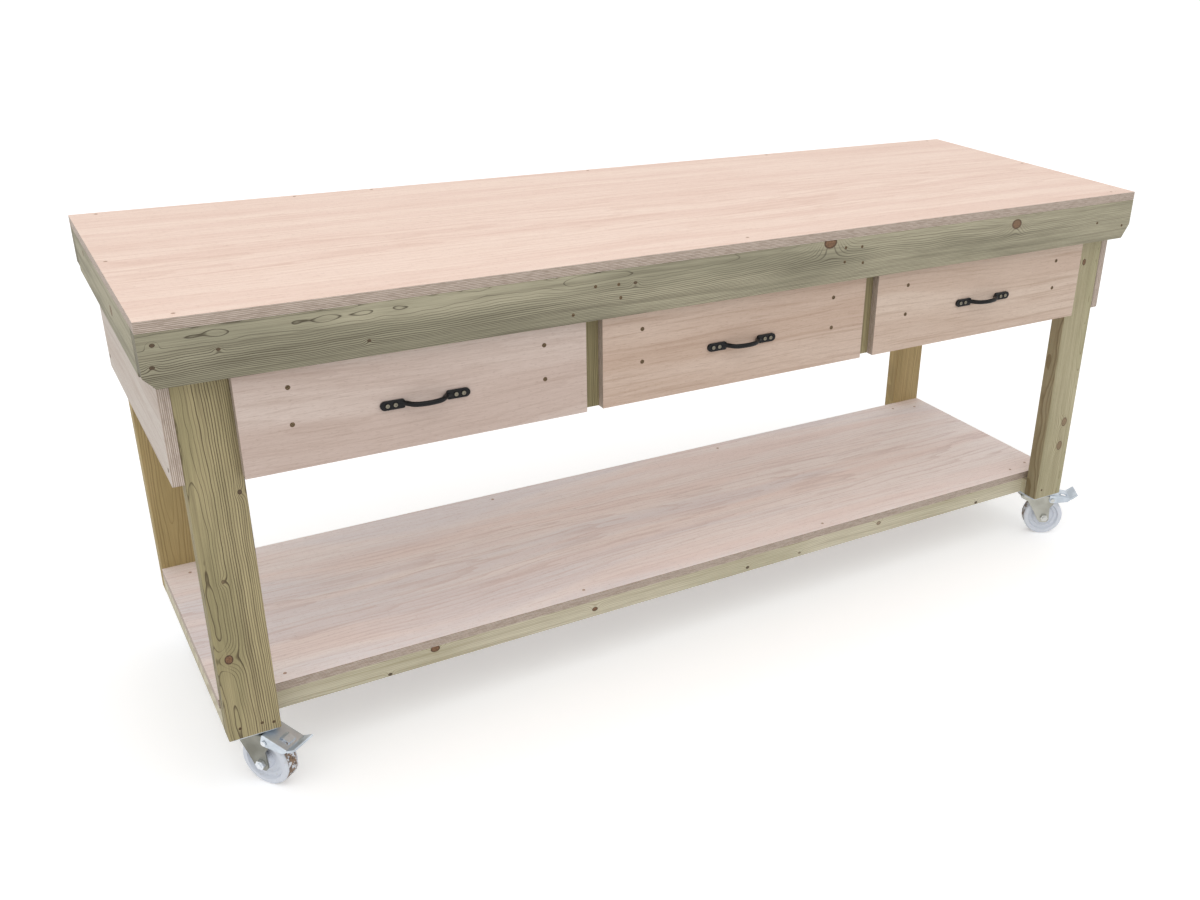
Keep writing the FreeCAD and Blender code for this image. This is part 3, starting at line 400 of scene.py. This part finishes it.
def timber(
    name, order, pith, slope, pale, green, late,
    knots=(), contrast=0.5, spacing=0.0032, painted_side_shade=0.0, fresher=0.0,
):
    """Softwood with its growth rings round a pith behind the face.

    order is the length, the wide side and the depth. pith is where the tree's middle
    lies in the wide and deep directions, and slope is how it leans along the length.
    pale and green cloud into each other, and late is the rings' dark line, which shows
    by contrast. spacing is the width of a ring. knots are (along, across, radius,
    darkness), the side shade is how much painted shade darkens the narrow sides, and
    fresher is how much paler the timber grows along its length."""
    finish = Finish(name)
    along, wide, deep = finish.place(order)
    # The pith wanders through the length, and each ring ripples
    wander = finish.noise(along * 1.9, wide * 3.0, deep * 3.0, 2.0)
    ripple = finish.noise(along * 11.0, wide * 20.0, deep * 20.0, 2.0)
    across = wide - pith[0] - along * slope[0] + (wander - 0.5) * 0.034
    inwards = deep - pith[1] - along * slope[1] + (wander - 0.5) * 0.02
    plain_radius = (across * across + inwards * inwards) ** 0.5
    sideways = (across * across) ** 0.5 / plain_radius
    lean = finish.larger(sideways, 0.2)
    radius = plain_radius + (ripple - 0.5) * 0.0055
    # Rings bend round each knot, and the knot has a dark rim and a stained halo
    core = 0.0
    rim = 0.0
    halo = 0.0
    grown = 0.0
    pin = 0.0
    knot_stretch = 0.75
    pin_size = 0.005
    for knot_along, knot_wide, size, darkness in knots:
        run = (along - knot_along) * knot_stretch
        rise = wide - knot_wide
        apart = (run * run + rise * rise) ** 0.5 + (ripple - 0.5) * (size * 0.4)
        near = math.e ** (apart * apart * (-1 / (size * 2.3) ** 2))
        radius = radius + near * (size * 1.5)
        inside = finish.fade(apart, size * 1.04, size * 0.9) * darkness
        core = core + inside
        rim = rim + inside * finish.fade(apart, size * 0.6, size * 0.95)
        halo = halo + near * 0.5
        if size < pin_size:
            pin = pin + inside
        grown = grown + inside * apart
    # No two rings are equally wide or equally dark
    width = finish.noise(radius * 55.0, pith[0] * 40.0, 3.0, 1.0)
    turn = radius / spacing + width * 2.6
    number = finish.whole(turn)
    ring = turn - number
    darkness_of_ring = finish.noise(number * 5.3, pith[0] * 9.0, 1.0, 0.0)
    strength = finish.fade(darkness_of_ring, 0.3, 0.7, 0.45, 1.0)
    # Where rings lie flat along the face they are wide, and their dark lines stay thin
    rise_of_line = finish.fade(ring, 1.0 - lean * 0.62, 1.0 - lean * 0.14)
    late_wood = rise_of_line * finish.fade(ring, 1.0, 0.97) * strength
    fibre = finish.noise(along * 14.0, wide * 1100.0, deep * 1100.0, 3.0, 0.6)
    streak = finish.noise(along * 2.5, wide * 110.0, deep * 110.0, 3.0, 0.6)
    cloud = finish.noise(along * 2.2, wide * 12.0, deep * 12.0, 3.0) - along * fresher
    colour = finish.blend(finish.fade(cloud, 0.38, 0.62), pale, green)
    colour = finish.blend(late_wood * (contrast - along * (fresher * 2.0)), colour, late)
    colour = finish.blend(finish.fade(streak, 0.45, 0.7, 0.0, 0.3), colour, late)
    colour = finish.blend(finish.fade(fibre, 0.4, 0.66, 0.0, 0.28), colour, late)
    if knots:
        knot_turn = grown * 480.0 + ripple * 1.5
        knot_ring = finish.fade(knot_turn - finish.whole(knot_turn), 0.4, 0.9) * core
        speckle = finish.noise(along * 300.0, wide * 300.0, 5.0, 3.0)
        speckled = finish.fade(speckle, 0.35, 0.65)
        knot = finish.blend(speckled, paint(138, 100, 72), paint(104, 76, 52))
        colour = finish.blend(finish.fade(halo, 0.2, 1.0, 0.0, 0.4), colour, paint(146, 118, 78))
        colour = finish.blend(core, colour, knot)
        colour = finish.blend(knot_ring * 0.5, colour, paint(84, 58, 40))
        colour = finish.blend(rim * 0.85, colour, paint(62, 46, 34))
        colour = finish.blend(pin * 0.8, colour, paint(66, 58, 42))
    # The sawn ends drink in more of the preservative and are darker
    sawn = finish.fade(finish.facing(order[0]), 0.5, 0.7, 0.0, 0.35)
    colour = finish.blend(sawn, colour, late)
    # Painted shade darkens the narrow sides, the faces square to the wide direction
    if painted_side_shade:
        narrow_side = finish.fade(finish.facing(order[1]), 0.5, 0.7, 0.0, painted_side_shade)
        colour = finish.blend(narrow_side, colour, paint(104, 82, 50))
    finish.feed(
        Base_Color=colour,
        Roughness=finish.fade(late_wood, 0.0, 1.0, 0.76, 0.64),
        Normal=finish.relief(late_wood * 0.7 + fibre * 0.4, 0.0003),
    )
    return finish


def knots_along(order, *marks):
    """Knots for timber, given in millimetres as left, front, top, radius, darkness."""
    found = []
    for left, front, top, size, darkness in marks:
        point = spot(left, front, top)
        place = {"X": point.x, "Y": point.y, "Z": point.z}
        found.append((place[order[0]], place[order[1]], size / 1000, darkness))
    return found


khaki = paint(178, 171, 146)
moss = paint(152, 147, 124)
umber = paint(72, 63, 45)
front_rail_finish = timber(
    "front_rail_timber", "XZY",
    pith=(top_high.z - 0.022, top_low.y + 0.034), slope=(0.012, 0.003),
    pale=khaki, green=moss, late=umber,
    knots=knots_along(
        "XZY",
        (1253, 0, 23, 12, 0.95), (1760, 0, 38, 11, 0.85), (819, 0, 47, 3, 0.8),
        (336, 0, 80, 2.5, 0.9), (110, 0, 58, 2.5, 0.9), (21, 0, 38, 3, 0.9), (16, 0, 72, 3, 0.9),
    ),
    contrast=0.9, spacing=0.0025, fresher=0.15,
)
dress(front_rail_finish, "top_front_rail")
back_face = 690
back_rail_finish = timber(
    "back_rail_timber", "XZY",
    pith=(top_high.z - 0.02, top_high.y - 0.08), slope=(0.004, -0.003),
    pale=khaki, green=moss, late=umber,
    knots=knots_along(
        "XZY",
        (420, back_face, 60, 10, 0.7), (1480, back_face, 40, 12, 0.8),
        (1910, back_face, 75, 6, 0.6),
    ),
    contrast=0.8, spacing=0.0026,
)
dress(back_rail_finish, "top_back_rail")
end_rail_finish = timber(
    "end_rail_timber", "YZX", pith=(top_high.z - 0.10, 0.0), slope=(0.01, 0.3),
    pale=khaki, green=moss, late=umber,
    knots=knots_along("YZX", (0, 250, 55, 9, 0.7), (0, 540, 35, 5, 0.6)),
    contrast=0.7, spacing=0.0028,
)
dress(end_rail_finish, "top_end_rail_left", "top_end_rail_right")
front_marks = (
    (1292, 37), (1333, 39.5), (1291.5, 66), (1338, 73), (695.5, 90), (739.6, 44), (785.5, 46),
    (789.5, 71), (2018.5, 62), (2104, 76),
)
back_marks = (
    (60, 40), (92, 78), (735, 45), (780, 80), (1340, 45), (1382, 78), (2040, 44), (2076, 80),
)
drive(
    "rail_screws", wood_screw,
    [(spot(left, 0, down), "front") for left, down in front_marks]
    + [(spot(left, back_face, down), "back") for left, down in back_marks],
    "bench", size=0.75,
)


# Legs
# Four lengths of the same timber with their wide side to the front, cut square
# and screwed behind the long rails. The grain is bold, with arched figure.

straw = paint(182, 168, 128)
olive = paint(156, 146, 108)
bark = paint(80, 66, 40)
left_leg_finish = timber(
    "left_leg_timber", "ZXY", pith=(spot(58, 0, 0).x, spot(0, 54, 0).y), slope=(-0.012, 0.012),
    pale=straw, green=olive, late=bark,
    knots=knots_along(
        "ZXY", (59, 0, 620, 7.5, 1.0), (116, 0, 315, 3.5, 0.9), (70, 0, 470, 3, 0.5)
    ),
    contrast=1.0, spacing=0.0033,
)
dress(left_leg_finish, "leg_front_left")
# The right leg's narrow sides, its inner face among them, are darkened with painted shade
right_leg_finish = timber(
    "right_leg_timber", "ZXY", pith=(spot(2075, 0, 0).x, spot(0, 70, 0).y), slope=(0.015, -0.02),
    pale=paint(190, 181, 150), green=paint(170, 163, 130), late=paint(120, 106, 72),
    knots=knots_along(
        "ZXY", (2041, 0, 166, 6, 0.9), (2061, 0, 645, 9, 0.6), (2065, 0, 580, 9, 0.6)
    ),
    contrast=0.8, spacing=0.0028, painted_side_shade=0.45,
)
dress(right_leg_finish, "leg_front_right")
back_leg_finish = timber(
    "back_leg_timber", "ZXY", pith=(spot(70, 0, 0).x, spot(0, 590, 0).y), slope=(0.03, 0.04),
    pale=paint(192, 170, 122), green=paint(174, 154, 106), late=paint(118, 96, 54),
    knots=knots_along("ZXY", (85, 0, 420, 9, 0.8), (2050, 0, 530, 8, 0.8)),
    contrast=0.6, spacing=0.005,
)
dress(back_leg_finish, "leg_back_left", "leg_back_right")
leg_front = 38
leg_back = 652
foot_marks = ((58.7, 764), (95.7, 765), (115, 770), (2022.7, 762.5))
back_foot_marks = ((60, 764), (98, 766), (2030, 764), (2070, 766), (82, 182), (2048, 182))
drive(
    "leg_screws", wood_screw,
    [(spot(left, leg_front, down), "front") for left, down in foot_marks]
    + [(spot(left, leg_back, down), "back") for left, down in back_foot_marks],
    "bench", size=0.7,
)


# End panels
# Plywood offcuts screwed on the legs' outer faces below the end rails, with
# their lower corners rounded over. Their grain runs front to back.

panel_veneer = plywood(
    "panel_veneer", "YZX", paint(204, 194, 184), paint(194, 180, 168), paint(166, 146, 132),
    seed=3.0,
)
dress(panel_veneer, "side_panel_left", "side_panel_right")
left_panel_face = 20
right_panel_face = 2110
panel_marks = ((56, 120), (56, 262), (200, 112), (345, 112), (490, 112), (634, 120), (634, 262))
drive(
    "panel_screws", wood_screw,
    [(spot(left_panel_face, front, down), "left") for front, down in panel_marks]
    + [(spot(right_panel_face, front, down), "right") for front, down in panel_marks],
    "bench",
)


# Divider posts and runner bearers
# Short uprights between the drawers, hung behind the long rails, and bearers on
# edge from front to back that the drawer runners are screwed to.

post_finish = timber(
    "post_timber", "ZXY", pith=(spot(1065, 0, 0).x, spot(0, 150, 0).y), slope=(0.02, 0.05),
    pale=straw, green=olive, late=bark, contrast=0.6,
)
dress(
    post_finish,
    "divider_post_front_left", "divider_post_front_right",
    "divider_post_back_left", "divider_post_back_right",
)
bearer_finish = timber(
    "bearer_timber", "YZX", pith=(spot(0, 0, 230).z, 0.02), slope=(0.02, 0.05),
    pale=khaki, green=moss, late=umber,
)
dress(
    bearer_finish,
    "runner_bearer_left_end", "runner_bearer_left_divider",
    "runner_bearer_right_divider", "runner_bearer_right_end",
)


# Lower frame and shelf
# Timber laid flat between the legs, level with their feet, and a plywood shelf
# screwed down on it, its grain along the bench with grey and pink streaks.

chalk = paint(212, 205, 182)
lichen = paint(196, 190, 164)
fawn = paint(140, 124, 92)
lower_rail_finish = timber(
    "lower_rail_timber", "XZY", pith=(spot(0, 0, 800).z, spot(0, 140, 0).y), slope=(0.004, 0.01),
    pale=chalk, green=lichen, late=fawn,
    knots=knots_along(
        "XZY",
        (433, 0, 752, 7, 1.0), (776, 0, 767, 5, 1.0), (342, 0, 780, 3, 0.9),
        (1156, 0, 774, 3.5, 0.9), (1530, 0, 757, 5, 0.6), (1299, 0, 775, 3, 0.5),
        (1847, 0, 779, 3.5, 0.9),
    ),
    contrast=0.7, spacing=0.0026,
)
dress(lower_rail_finish, "lower_front_rail", "lower_back_rail")
lower_end_finish = timber(
    "lower_end_timber", "YXZ", pith=(0.0, spot(0, 0, 820).z), slope=(0.1, 0.03),
    pale=chalk, green=lichen, late=fawn,
)
dress(lower_end_finish, "lower_end_rail_left", "lower_end_rail_right")
# The shelf is the worktop's plywood, but its colours are painted paler, as painted light that
# lifts the shade it lies in below the worktop
shelf_veneer = plywood(
    "shelf_veneer", "XYZ", paint(252, 242, 238), paint(248, 231, 225), paint(216, 194, 188),
    seed=7.0, figure=0.34, grey=paint(231, 228, 233), heart=(-0.02, 0.5),
)
dress(shelf_veneer, "undershelf")
shelf_down = 729
shelf_marks = (
    (159, 116), (762, 114), (1377, 113), (1984, 119), (2049, 132),
    (1975, 582), (2041, 565), (85, 572), (759, 588), (1385, 586),
)
shelf_screws = drive(
    "shelf_screws", wood_screw,
    [(spot(left, front, shelf_down), "up") for left, front in shelf_marks],
    "bench", size=0.8,
)
coat(shelf_screws, dusty)


# Drawers
# Each has a plywood front screwed to a box of 12 mm plywood with a thin bottom,
# and hangs on a pair of bright steel channel runners.

sides = ("left", "middle", "right")
front_veneers = {
    "left": plywood(
        "front_veneer_left", "XZY",
        paint(212, 195, 185), paint(201, 181, 170), paint(172, 148, 134),
        seed=11.0, figure=0.3, heart=(0.72, 0.2),
    ),
    "middle": plywood(
        "front_veneer_middle", "XZY",
        paint(208, 186, 170), paint(197, 172, 154), paint(164, 136, 116),
        seed=12.0, figure=0.4,
    ),
    "right": plywood(
        "front_veneer_right", "XZY",
        paint(214, 194, 178), paint(202, 179, 162), paint(172, 146, 126),
        seed=13.0, figure=0.5,
    ),
}
box_colours = (paint(214, 190, 160), paint(202, 176, 146), paint(176, 146, 116))
side_veneer = plywood("box_side_veneer", "YZX", *box_colours, seed=17.0)
end_veneer = plywood("box_end_veneer", "XZY", *box_colours, seed=18.0)
bottom_veneer = plywood("bottom_veneer", "XYZ", *box_colours, seed=19.0)


def zinc(name, metallic, bright, dull, clouds):
    """Zinc plating over pressed steel, with so many clouds in a metre.

    Gives the finish, and its colour for what is drawn on it."""
    finish = Finish(name, Metallic=metallic)
    x, y, z = finish.place()
    cloud = finish.noise(x * clouds, y * clouds, z * clouds, 3.0)
    brushed = finish.noise(x * 400.0, y * 400.0, z * 60.0, 2.0)
    colour = finish.blend(finish.fade(cloud, 0.35, 0.65), bright, dull)
    finish.feed(
        Base_Color=colour,
        Roughness=finish.fade(cloud, 0.3, 0.7, 0.3, 0.4),
        Normal=finish.relief(brushed, 0.00004),
    )
    return finish, colour


runner_zinc, _ = zinc("runner_zinc", 1.0, paint(206, 206, 208), paint(170, 174, 178), 30.0)
dress(runner_zinc, "cabinet_runners")
screw_inset = 0.082
screw_rows = (144, 208)
for side in sides:
    low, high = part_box(f"drawer_{side}_front")
    dress(front_veneers[side], f"drawer_{side}_front")
    drive(
        f"drawer_{side}_front_screws", wood_screw,
        [
            (Vector((across, low.y, top_high.z - down / 1000)), "front")
            for across in (low.x + screw_inset, high.x - screw_inset)
            for down in screw_rows
        ],
        f"drawer_{side}",
    )
    dress(side_veneer, f"drawer_{side}_sides")
    dress(end_veneer, f"drawer_{side}_ends")
    dress(bottom_veneer, f"drawer_{side}_bottom")
    dress(runner_zinc, f"drawer_{side}_slides")


# Handles
# Cast bow handles with a satin black coating, screwed to the drawer fronts
# through two holes in each end.

black = Finish("black_coat", Metallic=0.0, Specular_IOR_Level=0.22)
x, y, z = black.place()
orange_peel = black.noise(x * 700.0, y * 700.0, z * 700.0, 2.0)
black.feed(
    Base_Color=black.blend(orange_peel, paint(10, 10, 11), paint(18, 18, 20)),
    Roughness=black.fade(orange_peel, 0.3, 0.7, 0.26, 0.36),
    Normal=black.relief(orange_peel, 0.00006),
)
dress(black, *[f"drawer_{side}_handle" for side in sides])
grey_steel = Finish("grey_screw_steel", Metallic=1.0)
x, y, z = grey_steel.place()
spangle = grey_steel.noise(x * 1200.0, y * 1200.0, z * 1200.0, 2.0)
grey_steel.feed(
    Base_Color=grey_steel.blend(spangle, paint(120, 114, 100), paint(160, 154, 138)),
    Roughness=grey_steel.fade(spangle, 0.3, 0.7, 0.3, 0.45),
    Normal=grey_steel.relief(spangle, 0.00002),
)
round_screw = screw_head(
    "round_screw", radius=0.0038, height=0.0022, crown=0.0014, recess=0.0036, metal=grey_steel
)
foot_thickness = 0.004
holes_from_middle = (0.053, 0.0665)
for side in sides:
    low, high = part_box(f"drawer_{side}_handle")
    middle = (low.x + high.x) / 2
    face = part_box(f"drawer_{side}_front")[0].y - foot_thickness
    drive(
        f"drawer_{side}_handle_screws", round_screw,
        [
            (Vector((middle + way * across, face, (low.z + high.z) / 2)), "front")
            for way in (-1, 1)
            for across in holes_from_middle
        ],
        f"drawer_{side}",
    )
bpy.data.objects.remove(round_screw)
bpy.data.objects.remove(wood_screw)


# Castors
# Zinc-plated pressed steel with a folded brake pedal and a moulded nylon wheel
# on an axle bolt, each held to the frame by four pan-head screws.


def from_axle(finish, centre, axle):
    """How far a point lies from the wheel's middle along its axle and off it, both squared."""
    point = finish.add("ShaderNodeTexCoord", {}, {}, "Object")
    offset = finish.add("ShaderNodeVectorMath", {"operation": "SUBTRACT"}, {0: point, 1: centre})
    dot = {"operation": "DOT_PRODUCT"}
    along = finish.add("ShaderNodeVectorMath", dot, {0: offset, 1: axle}, "Value")
    reach = finish.add("ShaderNodeVectorMath", {"operation": "LENGTH"}, {0: offset}, "Value")
    return along * along, reach * reach - along * along


def fork_finish(name, centre, axle, bolt_colour_and_glint, shade):
    """Dull plating on the pressed fork, with a brighter axle bolt, nut and rivet.

    shade is how much painted shade darkens the plating, on the scale of paint, and the bolt colour
    is the bolts' plating, on one fork lifted into a painted glint."""
    bright = paint(178 - shade, 178 - shade, 170 - shade)
    dull = paint(160 - shade, 159 - shade, 150 - shade)
    finish, plating = zinc(name, 1.0, bright, dull, 22.0)
    along, off = from_axle(finish, centre, axle)
    fork_face = 0.023
    pedal_face = 0.0257
    bolt_radius = 0.0101
    edge = 0.0002
    past_fork = finish.fade(along, (fork_face + edge / 2) ** 2, (fork_face + edge * 1.5) ** 2)
    bolt = past_fork * finish.fade(off, (bolt_radius + edge * 2) ** 2, bolt_radius ** 2)
    rivet = finish.fade(along, pedal_face ** 2, (pedal_face + edge) ** 2)
    finish.feed(Base_Color=finish.blend(finish.larger(bolt, rivet), plating, bolt_colour_and_glint))
    return finish


def nylon(name, tread_darkening, centre, axle):
    """Scuffed white nylon, with dark brown patches on the tread as strong as the second argument
    says, from 0 to 1.
    """
    finish = Finish(name)
    x, y, z = finish.place()
    scuff = finish.noise(x * 160.0, y * 160.0, z * 160.0, 4.0, 0.6)
    cast = finish.noise(x * 18.0, y * 18.0, z * 18.0, 2.0)
    colour = finish.blend(cast, paint(213, 218, 228), paint(224, 228, 235))
    colour = finish.blend(finish.fade(scuff, 0.56, 0.72, 0.0, 0.3), colour, paint(184, 178, 172))
    rough = finish.fade(scuff, 0.3, 0.7, 0.36, 0.5)
    along, off = from_axle(finish, centre, axle)
    clean_radius = 0.0478
    muddy_radius = 0.0492
    clean_half_width = 0.0135
    muddy_half_width = 0.009
    tread = finish.fade(off, clean_radius ** 2, muddy_radius ** 2)
    tread = tread * finish.fade(along, clean_half_width ** 2, muddy_half_width ** 2)
    patch = finish.noise(x * 110.0, y * 110.0, z * 110.0, 4.0, 0.65)
    caked = tread * finish.fade(patch + tread_darkening * 0.15, 0.58, 0.66, 0.0, 0.35 + tread_darkening * 0.6)
    earth = finish.blend(finish.fade(scuff, 0.4, 0.6), paint(84, 62, 42), paint(140, 110, 80))
    finish.feed(
        Base_Color=finish.blend(caked, colour, earth),
        Roughness=rough + caked * 0.35,
        Normal=finish.relief(scuff, 0.00008),
    )
    return finish


pedal_zinc, _ = zinc("pedal_zinc", 0.7, paint(214, 222, 230), paint(190, 199, 208), 30.0)
# Earth is caked on the front left tread; the front right tread is darkened with the same dark
# brown patches, nearly as strongly
castor_tread_darkening = {"front_left": 1.0, "front_right": 0.9, "back_left": 0.0, "back_right": 0.0}
for corner, tread_darkening in castor_tread_darkening.items():
    plate_low, plate_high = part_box(f"castor_{corner}_plate")
    wheel_low, wheel_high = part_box(f"castor_{corner}_wheel")
    centre = (wheel_low + wheel_high) / 2
    trail = centre - (plate_low + plate_high) / 2
    axle = Vector((-trail.y, trail.x, 0.0)).normalized()
    # The front left fork is darkened with painted shade, and its bolt lifted into a painted glint
    bolt_colour_and_glint, shade = paint(200, 201, 198), 0.0
    if corner == "front_left":
        bolt_colour_and_glint, shade = paint(226, 230, 234), 36.0
    fork_zinc = fork_finish(f"fork_zinc_{corner}", centre, axle, bolt_colour_and_glint, shade)
    dress(fork_zinc, f"castor_{corner}_fork")
    dress(nylon(f"nylon_{corner}", tread_darkening, centre, axle), f"castor_{corner}_wheel")
    dress(pedal_zinc, f"castor_{corner}_plate", f"castor_{corner}_pedal")
dress(pedal_zinc, "castor_screws")


# Studio
# A plain pale floor, an even sky and one large soft lamp above and in front.

bpy.ops.object.select_all(action="DESELECT")
bpy.ops.mesh.primitive_plane_add(size=60.0, location=(0.0, 0.0, 0.0))
floor = bpy.context.object
floor.name = "studio_floor"
floor_finish = Finish("studio_white", Roughness=0.9)
floor_finish.feed(Base_Color=paint(240, 240, 240))
seen_by_camera = floor_finish.add("ShaderNodeLightPath", {}, {}, "Is Camera Ray")
seen_in_gloss = floor_finish.add("ShaderNodeLightPath", {}, {}, "Is Glossy Ray")
shown = floor_finish.larger(seen_by_camera, seen_in_gloss)
glow = floor_finish.blend(shown, paint(0, 0, 0), paint(255, 255, 255))
floor_finish.feed(Emission_Color=glow, Emission_Strength=0.32)
floor.data.materials.append(floor_finish.material)

world = bpy.data.worlds.new("studio_sky")
bpy.context.scene.world = world
world.use_nodes = True
sky_nodes = world.node_tree.nodes
sky_links = world.node_tree.links
sky = sky_nodes["Background"]
sky.inputs["Color"].default_value = (1.0, 1.0, 1.0, 1.0)
ray = sky_nodes.new("ShaderNodeLightPath")
seen = sky_nodes.new("ShaderNodeMath")
seen.operation = "MAXIMUM"
sky_links.new(ray.outputs["Is Camera Ray"], seen.inputs[0])
sky_links.new(ray.outputs["Is Glossy Ray"], seen.inputs[1])
level = sky_nodes.new("ShaderNodeMapRange")
level.inputs["To Min"].default_value = 0.88
level.inputs["To Max"].default_value = 1.0
sky_links.new(seen.outputs[0], level.inputs["Value"])
sky_links.new(level.outputs[0], sky.inputs["Strength"])

lamp_data = bpy.data.lights.new("soft_lamp", "AREA")
lamp_data.shape = "RECTANGLE"
lamp_data.size = 5.0
lamp_data.size_y = 4.0
lamp_data.energy = 42.0
lamp_aim = Vector((0.0, 0.0, 0.6))
lamp = bpy.data.objects.new("soft_lamp", lamp_data)
bpy.context.scene.collection.objects.link(lamp)
lamp.location = (-0.6, -1.6, 4.2)
lamp.rotation_euler = (lamp_aim - lamp.location).to_track_quat("-Z", "Y").to_euler()

# The camera stands in front of the left end, above the worktop, where the picture was
# taken from. Its turns are in radians, and its frame is in pixels of that picture
image_width = 1200
image_height = 900
focal_pixels = 1219.75
middle_across = 737.94
middle_down = 469.79
eye_mm = (-196.41, -1859.17, -593.66)
turn = -0.5933
nod = -0.4434
roll = -0.0439
camera_data = bpy.data.cameras.new("photo_camera")
camera_data.sensor_width = 36.0
camera_data.lens = focal_pixels * camera_data.sensor_width / image_width
camera_data.shift_x = (image_width / 2 - middle_across) / image_width
camera_data.shift_y = (middle_down - image_height / 2) / image_width
camera_data.clip_end = 100.0
camera = bpy.data.objects.new("photo_camera", camera_data)
bpy.context.scene.collection.objects.link(camera)
camera.matrix_world = (
    Matrix.Translation(spot(*eye_mm))
    @ Matrix.Rotation(turn, 4, "Z")
    @ Matrix.Rotation(nod, 4, "X")
    @ Matrix.Rotation(roll, 4, "Y")
    @ Matrix.Rotation(math.radians(90.0), 4, "X")
)
bpy.context.scene.camera = camera
bpy.context.scene.view_settings.view_transform = "Standard"
